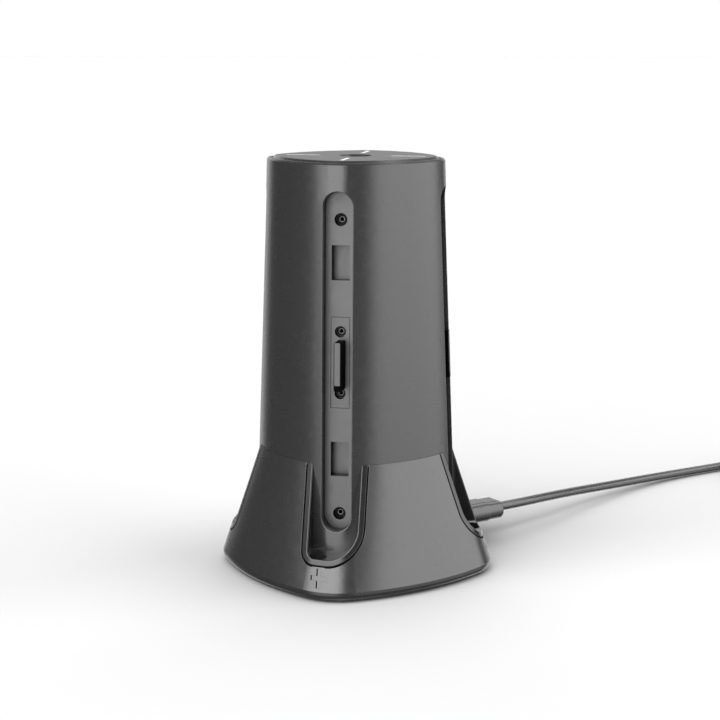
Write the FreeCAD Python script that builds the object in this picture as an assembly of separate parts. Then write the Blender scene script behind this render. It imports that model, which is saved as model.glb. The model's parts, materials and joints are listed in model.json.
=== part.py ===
"""Tower stand that charges four slim controllers, one on each rounded corner.

The axis of the tower is +Z and the feet stand on z = 0. The four docking recesses face -Y (front),
+X (right), +Y (back) and -X (left). The charging port is in the face between right and back.
"""
import FreeCAD
import Part
import math
import os

# Sizes in millimetres, angles in degrees

# Tower, from the axis to a rounded corner (apex); the face and the corner radius are shares of that
rim_level = 128.0
rim_apex = 27.5
rim_face_share = 0.92
rim_round_share = 0.345
foot_apex = 31.9
foot_face_share = 0.9185
foot_round_share = 0.401
tower_wall = 2.0
rim_break = 0.5
foot_tuck = 0.2
window_break = 0.15

# Top cap and its light bars
cap_seat_wall = 1.4
cap_seat_depth = 2.2
cap_rise = 0.6
cap_bevel = 1.0
cap_clearance = 0.12
dimple_diameter = 10.6
dimple_depth = 0.7
light_bar_start = 11.0
light_bar_length = 10.5
light_bar_width = 1.2
light_bar_foot = 0.8
light_bar_fit = 0.04

# Indicator board under the cap
indicator_side = 32.0
indicator_round = 6.0
indicator_thickness = 1.2
indicator_standoff = 1.5
indicator_screw_place = 10.5
indicator_cable_hole = 8.0
led_length = 3.2
led_width = 1.6
led_height = 0.9
led_gap = 0.3

# Docking recess in each corner
slot_width = 9.0
slot_depth = 5.7
slot_top_margin = 8.1
slot_bottom_margin = 8.5
tray_wall = 1.3
tray_floor = 2.0
tray_clearance = 0.1
upper_screw_drop = 8.4
screw_seat_diameter = 3.9
screw_seat_depth = 2.8
tray_boss_diameter = 6.6
button_pocket_width = 5.5
button_pocket_length = 10.4
button_pocket_depth = 4.0
button_pocket_place = 29.5
magnet_width = 5.0
magnet_length = 10.0
magnet_thickness = 2.0
magnet_skin = 0.8
magnet_rim = 1.1
magnet_fit = 0.05

# Connector set into the middle of each recess
insert_width = 5.5
insert_length = 27.2
insert_rise = -0.3
insert_fit = 0.14
insert_screw_place = 9.3
insert_seat_diameter = 3.4
insert_seat_depth = 2.6
housing_width = 2.4
housing_length = 13.85
housing_round = 0.4
housing_reach = 5.4
housing_aside = 0.35
housing_rise = -0.475
housing_lip = 0.8
housing_lip_start = 0.3
housing_fit = 0.05
blade_width = 1.7
blade_length = 12.8
blade_round = 0.2
blade_reach = 6.0
blade_root = 2.0
blade_aside = 0.15
blade_rise = -0.1
connector_board_width = 9.0
connector_board_length = 34.0
connector_board_thickness = 1.2

# Inner frame that carries the trays and boards
frame_wall = 2.0
frame_foot_round = 9.0
frame_top_round = 6.5
frame_top_drop = 7.0
frame_deck = 2.0
flange_thickness = 1.8
flange_inset = 0.3
frame_boss_diameter = 5.0
frame_boss_length = 4.0
frame_window_width = 3.0
frame_window_length = 8.0
frame_post_inset = 6.4
flange_boss_height = 4.5

# Flared base skirt with a notch under each recess
skirt_top_level = 38.8
skirt_lip = 0.2
skirt_edge_level = 3.3
skirt_edge_apex = 42.8
skirt_face_share = 0.888
skirt_round_share = 0.397
skirt_bottom_level = 0.9
skirt_edge_round = 1.2
skirt_edge_steps = 4
skirt_rim = 1.2
skirt_wall = 2.2
skirt_clearance = 0.08
notch_break = 0.2
base_boss_inset = 7.8
base_boss_diameter = 6.4
base_boss_gap = 0.8
base_rib_width = 2.4

# Pocket liner in each notch, with one tight and one wide lower corner
notch_half_width = 9.2
notch_floor_level = 10.4
notch_wide_round = 10.3
notch_tight_round = 3.8
liner_wall = 1.9
liner_clearance = 0.15
liner_rim_round = 0.35
well_diameter = 5.2
well_aside = 4.3

# Bottom plate and feet
plate_bottom_level = 0.5
plate_reveal = 0.4
plate_bevel = 1.6
plate_step = 2.3
plate_seat_depth = 1.3
plate_clearance = 0.2
plate_post_diameter = 6.6
foot_diameter = 9.0
foot_height = 1.2
foot_inset = 11.0
foot_fit = 0.1

# Main board and charging port, laid along the diagonal that the port faces
port_angle = 45.0
port_level = 9.3
port_width = 8.94
port_height = 3.2
port_depth = 7.3
port_wall = 0.3
port_inset = 2.1
port_tongue_width = 6.7
port_tongue_height = 0.7
port_tongue_length = 4.6
port_relief = 1.0
board_thickness = 1.6
board_tail = 24.0
board_half_width = 14.0
board_neck_start = 22.0
board_neck_half_width = 8.0
board_neck_margin = 1.0
board_screw_along = 14.0
board_screw_across = 9.5
board_post_diameter = 5.4
chip_side = 7.0
chip_height = 1.0

# Screws, each a head diameter, head height, shank diameter and length under the head
tray_screw = (3.5, 0.8, 1.9, 8.5)
connector_screw = (2.8, 0.8, 1.7, 8.5)
base_screw = (4.4, 1.0, 2.3, 6.8)
frame_screw = (4.4, 1.0, 2.3, 12.0)
board_screw = (3.4, 0.6, 1.8, 3.4)
screw_fit = 0.1
head_clearance = 0.2

# Plug in the charging port, its cord and the far plug
plug_shell_width = 8.25
plug_shell_height = 2.4
plug_shell_wall = 0.35
plug_shell_reach = 6.2
plug_gap = 0.4
plug_front_width = 11.0
plug_front_height = 6.6
plug_rear_width = 10.4
plug_rear_height = 6.0
plug_rear_length = 6.0
plug_rear_round = 0.8
port_mouth_clearance = 0.4
cord_diameter = 3.0
cord_arc_share = 0.45
cord_points = [
    (39.7, 39.7, 9.3),
    (46.5, 46.5, 9.3),
    (55.5, 61.5, 8.1),
    (64.0, 77.6, 6.3),
    (73.6, 94.0, 4.4),
    (84.6, 110.6, 2.9),
    (97.5, 126.6, 1.9),
    (111.8, 140.4, 1.6),
    (122.0, 149.2, 1.9),
]
coil_middle_diameter = 36.0
coil_turns_across = 4
coil_layers = 2
coil_lead = 14.0
coil_tail = 22.0
coil_exit_angle = 0.0
coil_ease = 0.15
tie_thickness = 0.7
tie_width = 6.0
tie_clearance = 0.1
tie_angle = 250.0
far_grip_width = 15.6
far_grip_height = 9.0
far_grip_length = 24.0
far_grip_round = 2.2
far_shell_width = 12.0
far_shell_height = 4.5
far_shell_length = 12.0
far_shell_wall = 0.4

# Worked out from the sizes above
up = FreeCAD.Vector(0, 0, 1)
origin = FreeCAD.Vector(0, 0, 0)
same_point = 1e-6
slot_names = ["front", "right", "back", "left"]
slot_angles = [0.0, 90.0, 180.0, 270.0]
rim_profile = [rim_apex, rim_apex * rim_face_share, rim_apex * rim_round_share]
foot_profile = [foot_apex, foot_apex * foot_face_share, foot_apex * foot_round_share]
edge_profile = [skirt_edge_apex, skirt_edge_apex * skirt_face_share, skirt_edge_apex * skirt_round_share]
base_boss_place = skirt_edge_apex - base_boss_inset
foot_place = edge_profile[1] - foot_inset
frame_post_place = foot_apex - frame_post_inset
tower_foot_level = notch_floor_level - foot_tuck
tower_height = rim_level - tower_foot_level
slot_tilt = math.atan2(foot_apex - rim_apex, tower_height)
slot_top_level = rim_level - slot_top_margin
slot_bottom_level = tower_foot_level + slot_bottom_margin
slot_middle_level = (slot_top_level + slot_bottom_level) / 2
slot_half_length = (slot_top_level - slot_bottom_level) / (2 * math.cos(slot_tilt))
stack_depth = button_pocket_depth + magnet_skin + magnet_thickness
insert_thickness = stack_depth - connector_board_thickness
frame_top_level = rim_level - frame_top_drop
flange_bottom_level = tower_foot_level - flange_thickness
upper_screw_place = slot_half_length - upper_screw_drop
lower_screw_place = slot_width / 2 - slot_half_length
board_top_level = port_level - port_height / 2
plate_top_level = skirt_bottom_level + plate_step
plate_seat_level = plate_bottom_level + plate_seat_depth
cap_seat_level = rim_level - cap_seat_depth
cap_top_level = rim_level + cap_rise


def direction(angle):
    """Unit vector in the floor plane at an angle from +X."""
    return FreeCAD.Vector(math.cos(math.radians(angle)), math.sin(math.radians(angle)), 0)


def blend(first, second, share):
    """Values between two lists, part of the way from the first to the second."""
    return [a + (b - a) * share for a, b in zip(first, second)]


def inset(profile, distance):
    """The same rounded outline, drawn in by a distance all round."""
    return [value - distance for value in profile]


def tower_profile(level):
    """Apex, flat and corner radius of the tower's outside at a level."""
    return blend(foot_profile, rim_profile, (level - tower_foot_level) / tower_height)


def skirt_profile(level):
    """Apex, flat and corner radius of the skirt's outside at a level above its edge."""
    top = inset(tower_profile(skirt_top_level), -skirt_lip)
    return blend(edge_profile, top, (level - skirt_edge_level) / (skirt_top_level - skirt_edge_level))


def skirt_cavity_profile(level):
    """Apex, flat and corner radius of the hollow inside the skirt at a level."""
    low = inset(edge_profile, skirt_edge_round + skirt_rim)
    high = inset(skirt_profile(skirt_top_level), skirt_wall)
    return blend(low, high, (level - skirt_bottom_level) / (skirt_top_level - skirt_bottom_level))


def squircle(profile, level):
    """Closed outline of four corner arcs and four bowed face arcs, all tangent."""
    apex, flat, radius = profile
    reach = apex - radius
    half = flat - radius
    bow = (half ** 2 - reach ** 2) / (2 * (reach * math.cos(math.pi / 4) - half))
    lift = up * level
    edges = []
    for quarter in range(4):
        ahead = direction(90 * quarter)
        before = direction(90 * quarter - 45)
        after = direction(90 * quarter + 45)
        centre = ahead * reach
        next_centre = direction(90 * quarter + 90) * reach
        start = centre + (centre + before * bow).normalize() * radius
        end = centre + (centre + after * bow).normalize() * radius
        next_start = next_centre + (next_centre + after * bow).normalize() * radius
        edges.append(Part.Arc(start + lift, ahead * apex + lift, end + lift).toShape())
        edges.append(Part.Arc(end + lift, after * flat + lift, next_start + lift).toShape())
    return Part.Wire(edges)


def rounded_box_outline(half_x, half_y, radius, level):
    """Rectangle with rounded corners, centred on the axis."""
    corners = [(half_x, half_y), (-half_x, half_y), (-half_x, -half_y), (half_x, -half_y)]
    starts = []
    middles = []
    ends = []
    for number, (x, y) in enumerate(corners):
        centre = FreeCAD.Vector(math.copysign(half_x - radius, x), math.copysign(half_y - radius, y), level)
        starts.append(centre + direction(90 * number) * radius)
        middles.append(centre + direction(90 * number + 45) * radius)
        ends.append(centre + direction(90 * number + 90) * radius)
    edges = []
    for number in range(4):
        edges.append(Part.Arc(starts[number], middles[number], ends[number]).toShape())
        following = starts[(number + 1) % 4]
        if (following - ends[number]).Length > same_point:
            edges.append(Part.LineSegment(ends[number], following).toShape())
    return Part.Wire(edges)


def loft(outlines):
    """Solid with straight sides between outlines."""
    return Part.makeLoft(outlines, True, True)


def squircle_prism(profile, low, high):
    """Upright solid of one rounded outline."""
    return Part.Face(squircle(profile, low)).extrude(up * (high - low))


def rounded_prism(width, length, radius, low, high):
    """Upright block with rounded upright edges, centred on the axis."""
    outline = rounded_box_outline(width / 2, length / 2, radius, low)
    return Part.Face(outline).extrude(up * (high - low))


def stadium_prism(half_width, half_length, low, high):
    """Upright block with full round ends, long in Y."""
    return rounded_prism(2 * half_width, 2 * half_length, half_width, low, high)


def block(width, length, low, high, x=0.0, y=0.0):
    """Upright rectangular block, centred on a point."""
    corner = FreeCAD.Vector(x - width / 2, y - length / 2, low)
    return Part.makeBox(width, length, high - low, corner)


def rod(diameter, low, high, x=0.0, y=0.0):
    """Upright cylinder."""
    return Part.makeCylinder(diameter / 2, high - low, FreeCAD.Vector(x, y, low), up)


def tower_body(distance, low, high):
    """Tapered solid, drawn in by a distance from the tower's outside."""
    bottom = squircle(inset(tower_profile(low), distance), low)
    top = squircle(inset(tower_profile(high), distance), high)
    return loft([bottom, top])


def outer_edges(shape, low, high):
    """Edges round the openings in a shape's sloping outside, between two levels."""
    found = {}
    for face in shape.Faces:
        if face.Surface.TypeId != "Part::GeomBSplineSurface":
            continue
        middle = face.CenterOfMass
        first_u, last_u, first_v, last_v = face.ParameterRange
        normal = face.normalAt((first_u + last_u) / 2, (first_v + last_v) / 2)
        if normal.z > 0 and normal.x * middle.x + normal.y * middle.y > 0:
            for edge in face.Edges:
                found.setdefault(edge.hashCode(), []).append(edge)
    single = [edges[0] for edges in found.values() if len(edges) == 1]
    return [edge for edge in single if low < edge.CenterOfMass.z < high]


def turned(shape, angle):
    """Copy of a shape, turned about the tower's axis."""
    return shape.rotated(origin, up, angle)


def on_front_slot(shape):
    """Move a shape drawn on the recess (x across, y up the corner, z outward) to the front corner."""
    apex = tower_profile(slot_middle_level)[0]
    base = FreeCAD.Vector(0, -apex, slot_middle_level)
    tip = FreeCAD.Rotation(FreeCAD.Vector(1, 0, 0), 90 - math.degrees(slot_tilt))
    placed = shape.copy()
    placed.Placement = FreeCAD.Placement(base, tip).multiply(shape.Placement)
    return placed


def screw(sizes):
    """Screw with its head's underside at z = 0 and its shank down."""
    head_diameter, head_height, shank_diameter, shank_length = sizes
    return rod(head_diameter, 0, head_height).fuse(rod(shank_diameter, -shank_length, 0))


def moved(shape, x, y, z):
    """Copy of a shape, shifted."""
    return shape.translated(FreeCAD.Vector(x, y, z))


def along_port(shape):
    """Turn a shape drawn along +X to the diagonal that the port faces."""
    return turned(shape, port_angle)


# Recess features, drawn with z = 0 at the corner's crest and the recess floor below it
floor_depth = -slot_depth
floor_back = floor_depth - tray_floor
stack_back = floor_depth - stack_depth
slot_half_width = slot_width / 2
screw_places = [upper_screw_place, lower_screw_place]
pocket_places = [button_pocket_place, -button_pocket_place]
insert_screw_places = [insert_rise + insert_screw_place, insert_rise - insert_screw_place]


def screw_seat(seat_diameter, seat_depth, sizes, place):
    """Hole with a seat for a screw head, cut from the recess floor through the stack."""
    through = rod(sizes[2] + 2 * screw_fit, stack_back, floor_depth, 0, place)
    return through.fuse(rod(seat_diameter, floor_depth - seat_depth, floor_depth, 0, place))


def recess_cavity():
    """Space of the recess in front of its floor."""
    return stadium_prism(slot_half_width, slot_half_length, floor_depth, slot_depth)


def dock_tray():
    """Tray behind the window of the tower, with its pockets, screw seats and magnet boxes."""
    cup_half_width = slot_half_width + tray_wall
    cup_half_length = slot_half_length + tray_wall
    cup = stadium_prism(cup_half_width, cup_half_length, floor_back, slot_depth)
    for place in screw_places:
        cup = cup.fuse(rod(tray_boss_diameter, stack_back, floor_back, 0, place))
    for place in pocket_places:
        width = magnet_width + 2 * magnet_rim
        length = magnet_length + 2 * magnet_rim
        cup = cup.fuse(block(width, length, stack_back, floor_back, 0, place))
    cup = cup.cut(recess_cavity())
    for place in pocket_places:
        pocket_floor = floor_depth - button_pocket_depth
        cup = cup.cut(block(button_pocket_width, button_pocket_length, pocket_floor, floor_depth, 0, place))
        width = magnet_width + 2 * magnet_fit
        length = magnet_length + 2 * magnet_fit
        cup = cup.cut(block(width, length, stack_back, pocket_floor - magnet_skin, 0, place))
    for place in screw_places:
        cup = cup.cut(screw_seat(screw_seat_diameter, screw_seat_depth, tray_screw, place))
    width = insert_width + 2 * insert_fit
    length = insert_length + 2 * insert_fit
    cup = cup.cut(block(width, length, floor_back, floor_depth, 0, insert_rise))
    inside = tower_body(tower_wall + tray_clearance, tower_foot_level, cap_seat_level)
    return on_front_slot(cup).common(inside).removeSplitter()


def housing_blank(grow, low, high, hand):
    """Block of the connector, a little to one side of the recess's middle."""
    width = housing_width + 2 * grow
    length = housing_length + 2 * grow
    blank = rounded_prism(width, length, housing_round + grow, low, high)
    return moved(blank, hand * housing_aside, housing_rise, 0)


def blade_blank(grow, low, high, hand):
    """Flat contact tongue inside the connector's block."""
    width = blade_width + 2 * grow
    length = blade_length + 2 * grow
    blank = rounded_prism(width, length, blade_round + grow, low, high)
    return moved(blank, hand * blade_aside, blade_rise, 0)


def connector_insert(hand):
    """Flush block around the connector, with two screw seats."""
    low = floor_depth - insert_thickness
    plate = block(insert_width, insert_length, low, floor_depth, 0, insert_rise)
    plate = plate.cut(housing_blank(housing_fit, low, floor_depth, hand))
    for place in insert_screw_places:
        plate = plate.cut(screw_seat(insert_seat_diameter, insert_seat_depth, connector_screw, place))
    return on_front_slot(plate.removeSplitter())


def connector_housing(hand):
    """Block that stands out of the insert and holds the contact tongue."""
    low = floor_depth - insert_thickness
    high = floor_depth + housing_reach
    body = housing_blank(0, low, high, hand)
    lip = housing_blank(0, floor_depth + housing_lip_start, high, hand)
    body = body.fuse(moved(lip, 0, -housing_lip, 0)).removeSplitter()
    return on_front_slot(body.cut(blade_blank(housing_fit, floor_depth + blade_root, high, hand)))


def connector_blade(hand):
    """Contact tongue set into the front of the block."""
    return on_front_slot(blade_blank(0, floor_depth + blade_root, floor_depth + blade_reach, hand))


def connector_board():
    """Small circuit board behind the insert, lying on the inner frame."""
    low = floor_depth - insert_thickness - connector_board_thickness
    high = floor_depth - insert_thickness
    board = block(connector_board_width, connector_board_length, low, high, 0, insert_rise)
    for place in insert_screw_places:
        board = board.cut(rod(connector_screw[2] + 2 * screw_fit, low, high, 0, place))
    return on_front_slot(board)


def magnet_pair():
    """Two block magnets behind the button pockets."""
    high = stack_back + magnet_thickness
    return [on_front_slot(block(magnet_width, magnet_length, stack_back, high, 0, place))
            for place in pocket_places]


def tray_screw_pair():
    """Two screws that fix a tray to the inner frame."""
    seat = floor_depth - screw_seat_depth
    return [on_front_slot(moved(screw(tray_screw), 0, place, seat)) for place in screw_places]


def connector_screw_pair():
    """Two screws that fix an insert and its board to the inner frame."""
    seat = floor_depth - insert_seat_depth
    return [on_front_slot(moved(screw(connector_screw), 0, place, seat)) for place in insert_screw_places]


def tower_shell():
    """Tapered outer shell with four windows and a ledge for the cap."""
    bottom = squircle(tower_profile(tower_foot_level), tower_foot_level)
    shoulder = squircle(tower_profile(rim_level - rim_break), rim_level - rim_break)
    rim = squircle(inset(tower_profile(rim_level), rim_break), rim_level)
    shell = loft([bottom, shoulder, rim])
    shell = shell.cut(tower_body(tower_wall, tower_foot_level, cap_seat_level))
    shell = shell.cut(tower_body(cap_seat_wall, cap_seat_level, rim_level))
    window = on_front_slot(recess_cavity())
    for angle in slot_angles:
        shell = shell.cut(turned(window, angle))
    shell = shell.cut(port_relief_space()).removeSplitter()
    return shell.makeFillet(window_break, outer_edges(shell, slot_bottom_level, slot_top_level))


def port_relief_space():
    """Room round the charging port under the tower's foot."""
    start = port_start - port_relief
    length = skirt_edge_apex - start
    width = port_width + 2 * port_relief
    high = port_level + port_height / 2 + port_relief
    return along_port(block(length, width, board_top_level, high, start + length / 2))


def light_bar_blank(extra):
    """Bar that lies along +X on the cap, grown by a fit."""
    return block(light_bar_length + 2 * extra, light_bar_width + 2 * extra, cap_seat_level, cap_top_level,
                 light_bar_start + light_bar_length / 2)


def top_cap():
    """Cap with a sloping edge, a shallow dimple and four slots for the light bars."""
    profile = inset(tower_profile(rim_level), cap_seat_wall + cap_clearance)
    low = squircle(profile, cap_seat_level)
    shoulder = squircle(profile, cap_top_level - cap_bevel)
    top = squircle(inset(profile, cap_bevel), cap_top_level)
    cap = loft([low, shoulder, top])
    dimple = Part.makeCone(dimple_diameter / 2 - dimple_depth, dimple_diameter / 2, dimple_depth,
                           up * (cap_top_level - dimple_depth))
    cap = cap.cut(dimple)
    for angle in slot_angles:
        cap = cap.cut(turned(light_bar_blank(light_bar_fit), angle))
    return cap.removeSplitter()


def light_bar():
    """Clear bar that shows the charge of one slot, with a foot under the cap."""
    foot = block(light_bar_length + 2 * light_bar_foot, light_bar_width + 2 * light_bar_foot,
                 cap_seat_level - light_bar_foot, cap_seat_level, light_bar_start + light_bar_length / 2)
    return light_bar_blank(0).fuse(foot).removeSplitter()


def indicator_corners():
    """Places of the four screws of the indicator board."""
    place = indicator_screw_place
    return [(place, place), (-place, place), (-place, -place), (place, -place)]


def indicator_board():
    """Circuit board under the cap, on the standoffs of the inner frame."""
    low = frame_top_level + indicator_standoff
    high = low + indicator_thickness
    board = rounded_prism(indicator_side, indicator_side, indicator_round, low, high)
    for x, y in indicator_corners():
        board = board.cut(rod(board_screw[2] + 2 * screw_fit, low, high, x, y))
    return board


def indicator_led():
    """Lamp on the indicator board under a light bar."""
    low = frame_top_level + indicator_standoff + indicator_thickness
    reach = indicator_side / 2 - led_length / 2 - led_gap
    return block(led_length, led_width, low, low + led_height, reach)


def frame_half(level):
    """Distance from the axis to the frame's flat faces at a level."""
    return tower_profile(level)[0] - (slot_depth + stack_depth) / math.cos(slot_tilt)


def frame_column(distance, low, high):
    """Tapered square column, drawn in by a distance."""
    span = frame_top_level - tower_foot_level
    outlines = []
    for level in (low, high):
        share = (level - tower_foot_level) / span
        radius = frame_foot_round + (frame_top_round - frame_foot_round) * share
        half = frame_half(level) - distance
        outlines.append(rounded_box_outline(half, half, radius - distance, level))
    return loft(outlines)


def frame_post_places():
    """Places where the frame is screwed to the bottom plate."""
    return [direction(angle) * frame_post_place for angle in slot_angles]


def inner_frame():
    """Hollow column on a flange, with screw bosses, cable windows and a deck for the indicator board."""
    frame = frame_column(0, tower_foot_level, frame_top_level)
    flange = squircle_prism(inset(tower_profile(tower_foot_level), flange_inset),
                            flange_bottom_level, tower_foot_level)
    frame = frame.fuse(flange)
    frame = frame.cut(frame_column(frame_wall, flange_bottom_level, frame_top_level - frame_deck))
    face_inside = stack_back - frame_wall
    boss_end = face_inside - frame_boss_length
    deck_bottom = frame_top_level - frame_deck
    standoff_top = frame_top_level + indicator_standoff
    for angle in slot_angles:
        for place in screw_places + insert_screw_places:
            boss = rod(frame_boss_diameter, boss_end, stack_back - frame_wall / 2, 0, place)
            frame = frame.fuse(turned(on_front_slot(boss), angle))
    for x, y in indicator_corners():
        frame = frame.fuse(rod(board_post_diameter, deck_bottom, standoff_top, x, y))
    for place in frame_post_places():
        boss = rod(frame_boss_diameter, flange_bottom_level, tower_foot_level + flange_boss_height,
                   place.x, place.y)
        frame = frame.fuse(boss)
    for angle in slot_angles:
        for place, sizes in zip(screw_places + insert_screw_places, [tray_screw] * 2 + [connector_screw] * 2):
            pilot = rod(sizes[2] + 2 * screw_fit, boss_end, stack_back, 0, place)
            frame = frame.cut(turned(on_front_slot(pilot), angle))
        window = stadium_prism(frame_window_width / 2, frame_window_length / 2, face_inside, stack_back)
        frame = frame.cut(turned(on_front_slot(window), angle))
    for x, y in indicator_corners():
        frame = frame.cut(rod(board_screw[2] + 2 * screw_fit, deck_bottom, standoff_top, x, y))
    frame = frame.cut(rod(indicator_cable_hole, deck_bottom, frame_top_level))
    for place in frame_post_places():
        frame = frame.cut(rod(frame_screw[2] + 2 * screw_fit, flange_bottom_level,
                              tower_foot_level + flange_boss_height, place.x, place.y))
    return frame.cut(port_relief_space()).removeSplitter()


def skirt_outside():
    """Flared outside of the skirt with its rounded lower edge."""
    outlines = [squircle(skirt_profile(skirt_top_level), skirt_top_level)]
    for step in range(skirt_edge_steps + 1):
        turn = math.radians(90 * step / skirt_edge_steps)
        level = skirt_edge_level - (skirt_edge_level - skirt_bottom_level) * math.sin(turn)
        outlines.append(squircle(inset(edge_profile, skirt_edge_round * (1 - math.cos(turn))), level))
    return loft(outlines)


def notch_prism(grow, hand):
    """Notch space in front of the axis; its wide lower corner is on the side that hand gives."""
    half = notch_half_width + grow
    floor = notch_floor_level - grow
    wide = notch_wide_round + grow
    tight = notch_tight_round + grow
    top = skirt_top_level + notch_floor_level

    def point(x, z):
        return FreeCAD.Vector(hand * x, 0, z)

    wide_centre = point(half - wide, floor + wide)
    tight_centre = point(tight - half, floor + tight)
    slant = math.sqrt(0.5)
    wide_middle = wide_centre + point(slant, -slant) * wide
    tight_middle = tight_centre + point(-slant, -slant) * tight
    edges = [
        Part.LineSegment(point(half, top), point(half, floor + wide)).toShape(),
        Part.Arc(point(half, floor + wide), wide_middle, point(half - wide, floor)).toShape(),
        Part.LineSegment(point(half - wide, floor), point(tight - half, floor)).toShape(),
        Part.Arc(point(tight - half, floor), tight_middle, point(-half, floor + tight)).toShape(),
        Part.LineSegment(point(-half, floor + tight), point(-half, top)).toShape(),
        Part.LineSegment(point(-half, top), point(half, top)).toShape(),
    ]
    face = Part.Face(Part.Wire(edges))
    return face.extrude(FreeCAD.Vector(0, -2 * skirt_edge_apex, 0))


def slot_hand(number):
    """Side of the wide corner: the pockets of neighbouring slots mirror each other."""
    return 1 if number % 2 == 0 else -1


def base_boss_places():
    """Places where the bottom plate is screwed to the skirt."""
    return [direction(angle) * base_boss_place for angle in slot_angles]


def base_skirt():
    """Flared shell round the tower's foot, with four notches, screw bosses and the port opening."""
    outside = skirt_outside()
    skirt = outside.cut(loft([
        squircle(skirt_cavity_profile(skirt_bottom_level), skirt_bottom_level),
        squircle(skirt_cavity_profile(skirt_top_level), skirt_top_level)]))
    boss_top = notch_floor_level - base_boss_gap
    for angle in slot_angles:
        boss = rod(base_boss_diameter, plate_top_level, boss_top, base_boss_place)
        rib_length = skirt_edge_apex - base_boss_place
        rib = block(rib_length, base_rib_width, plate_top_level, boss_top, base_boss_place + rib_length / 2)
        skirt = skirt.fuse(turned(boss.fuse(rib).common(outside), angle))
    for angle in slot_angles:
        pilot = rod(base_screw[2] + 2 * screw_fit, plate_top_level, boss_top, base_boss_place)
        skirt = skirt.cut(turned(pilot, angle))
    skirt = skirt.cut(tower_body(-skirt_clearance, tower_foot_level, skirt_top_level))
    for number, angle in enumerate(slot_angles):
        skirt = skirt.cut(turned(notch_prism(liner_clearance, slot_hand(number)), angle))
    skirt = skirt.removeSplitter()
    rim = outer_edges(skirt, plate_top_level + notch_break, skirt_top_level - notch_break)
    skirt = skirt.makeFillet(notch_break, rim)
    mouth_length = skirt_edge_apex - port_start
    mouth = plug_front_outline(port_mouth_clearance).extrude(FreeCAD.Vector(mouth_length, 0, 0))
    return skirt.cut(along_port(mouth))


def pocket_liner(hand):
    """Glossy channel that lines the front notch and takes the lower end of a controller."""
    liner = notch_prism(0, hand).cut(notch_prism(-liner_wall, hand))
    liner = liner.common(skirt_outside()).removeSplitter()
    rim = outer_edges(liner, plate_top_level, skirt_top_level - notch_break)
    liner = liner.makeFillet(liner_rim_round, rim)
    liner = liner.cut(tower_body(-skirt_clearance, tower_foot_level, rim_level))
    keep = Part.makeBox(2 * foot_apex, foot_apex, rim_level, FreeCAD.Vector(-foot_apex, -skirt_edge_apex, 0))
    liner = liner.common(keep.cut(squircle_prism(tower_profile(tower_foot_level), 0, tower_foot_level)))
    well_reach = (foot_apex + skirt_profile(notch_floor_level)[0]) / 2
    well_top = notch_floor_level + notch_tight_round
    return liner.cut(rod(well_diameter, 0, well_top, -hand * well_aside, -well_reach)).removeSplitter()


def foot_places():
    """Places of the rubber feet, under the faces."""
    return [direction(angle + port_angle) * foot_place for angle in slot_angles]


def board_screw_places():
    """Places of the main board's screws, drawn along +X."""
    across = board_screw_across
    along = board_screw_along
    return [(along, across), (-along, across), (-along, -across), (along, -across)]


def bottom_plate():
    """Bevelled plate that closes the base, with posts for the frame and the main board."""
    lower = inset(skirt_profile(skirt_edge_level), skirt_edge_round + plate_reveal)
    plate = loft([
        squircle(inset(lower, plate_bevel), plate_bottom_level),
        squircle(lower, skirt_bottom_level)])
    plate = plate.fuse(loft([
        squircle(inset(skirt_cavity_profile(skirt_bottom_level), plate_clearance), skirt_bottom_level),
        squircle(inset(skirt_cavity_profile(plate_top_level), plate_clearance), plate_top_level)]))
    for place in frame_post_places():
        plate = plate.fuse(rod(plate_post_diameter, plate_top_level, flange_bottom_level, place.x, place.y))
    for x, y in board_screw_places():
        post = rod(board_post_diameter, plate_top_level, board_top_level - board_thickness, x, y)
        post = post.cut(rod(board_screw[2] + 2 * screw_fit, plate_top_level, board_top_level, x, y))
        plate = plate.fuse(along_port(post))
    for place in foot_places():
        plate = plate.cut(rod(foot_diameter + 2 * foot_fit, 0, foot_height, place.x, place.y))
    for places, sizes in ((base_boss_places(), base_screw), (frame_post_places(), frame_screw)):
        for place in places:
            plate = plate.cut(rod(sizes[2] + 2 * screw_fit, 0, flange_bottom_level, place.x, place.y))
            plate = plate.cut(rod(sizes[0] + 2 * head_clearance, 0, plate_seat_level, place.x, place.y))
    return plate.removeSplitter()


def upward_screw(sizes, place):
    """Screw driven from below, its head against the seat in the bottom plate."""
    upright = screw(sizes).rotated(origin, FreeCAD.Vector(1, 0, 0), 180)
    return moved(upright, place.x, place.y, plate_seat_level)


# Port and board, drawn along +X and turned to the port's diagonal
port_face = skirt_profile(port_level)[1]
port_mouth = port_face - port_inset
port_start = port_mouth - port_depth


def oval_outline(width, height, place):
    """Flat-sided outline with full round ends in the plane across the port's axis."""
    radius = height / 2
    half = width / 2 - radius

    def point(y, z):
        return FreeCAD.Vector(place, y, port_level + z)

    edges = [
        Part.LineSegment(point(-half, -radius), point(half, -radius)).toShape(),
        Part.Arc(point(half, -radius), point(half + radius, 0), point(half, radius)).toShape(),
        Part.LineSegment(point(half, radius), point(-half, radius)).toShape(),
        Part.Arc(point(-half, radius), point(-half - radius, 0), point(-half, -radius)).toShape(),
    ]
    return Part.Face(Part.Wire(edges))


def oval_bar(width, height, start, end):
    """Oval bar along the port's axis."""
    return oval_outline(width, height, start).extrude(FreeCAD.Vector(end - start, 0, 0))


def plug_front_outline(grow):
    """Outline of the plug's front part, or of the opening that it enters."""
    return oval_outline(plug_front_width + 2 * grow, plug_front_height + 2 * grow, port_start)


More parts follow.
